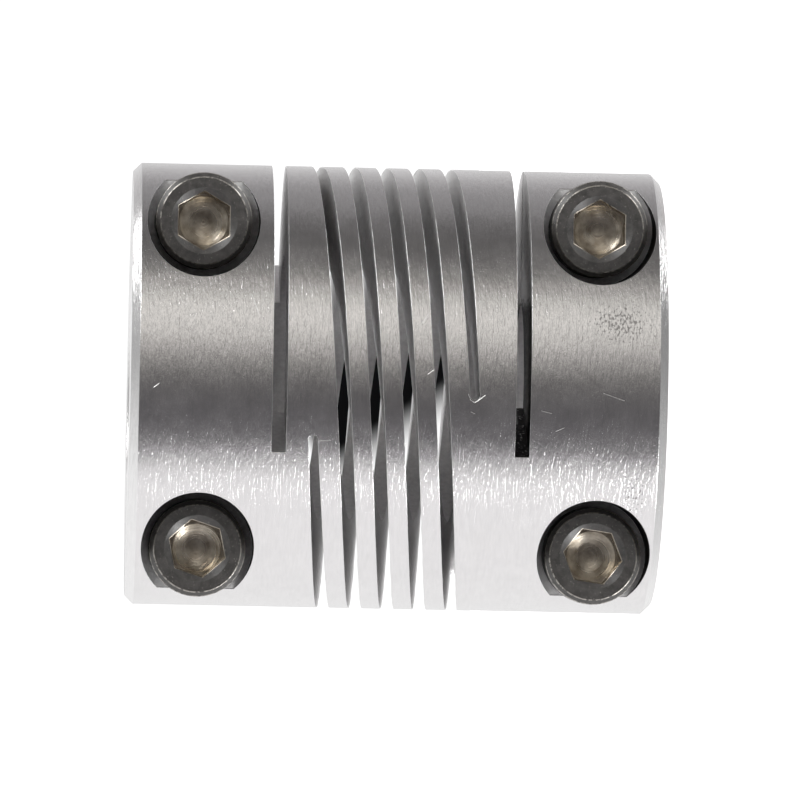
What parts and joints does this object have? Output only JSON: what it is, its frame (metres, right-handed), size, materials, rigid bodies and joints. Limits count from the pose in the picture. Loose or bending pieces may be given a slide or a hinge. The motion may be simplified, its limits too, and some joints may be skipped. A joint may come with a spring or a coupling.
{
  "type": "flexible shaft coupling",
  "caption": "One-piece aluminium flexible shaft coupling with three helical spring slots and split clamp hubs closed by socket head cap screws.",
  "frame": {"origin": "centre of the lower end face, on the bore axis", "axes": "+Z along the bore axis from the lower hub to the upper hub, -Y toward the screw heads, +X toward the side where the saw cuts open"},
  "size_m": [0.0318, 0.0318, 0.0378],
  "materials": {
    "turned_aluminium": "turned and bored, with fine circular tool marks and small burrs on the slot edges",
    "black_oxide_steel": "blackened alloy steel with bright worn edges"
  },
  "bodies": {
    "coupling": {"coupling_body": "turned_aluminium"},
    "upper_right_screw": {"upper_right_clamp_screw": "black_oxide_steel"},
    "upper_left_screw": {"upper_left_clamp_screw": "black_oxide_steel"},
    "lower_right_screw": {"lower_right_clamp_screw": "black_oxide_steel"},
    "lower_left_screw": {"lower_left_clamp_screw": "black_oxide_steel"}
  },
  "joints": [
    {"name": "upper_right_screw_turn", "type": "hinge", "parent": "coupling", "child": "upper_right_screw", "pos_m": [0.0116, -0.0064, 0.0328], "axis": [0, -1, 0], "range_deg": [0, 360]},
    {"name": "upper_left_screw_turn", "type": "hinge", "parent": "coupling", "child": "upper_left_screw", "pos_m": [-0.0116, -0.0064, 0.0328], "axis": [0, -1, 0], "range_deg": [0, 360]},
    {"name": "lower_right_screw_turn", "type": "hinge", "parent": "coupling", "child": "lower_right_screw", "pos_m": [0.0116, -0.0064, 0.00475], "axis": [0, -1, 0], "range_deg": [0, 360]},
    {"name": "lower_left_screw_turn", "type": "hinge", "parent": "coupling", "child": "lower_left_screw", "pos_m": [-0.0116, -0.0064, 0.00475], "axis": [0, -1, 0], "range_deg": [0, 360]}
  ]
}
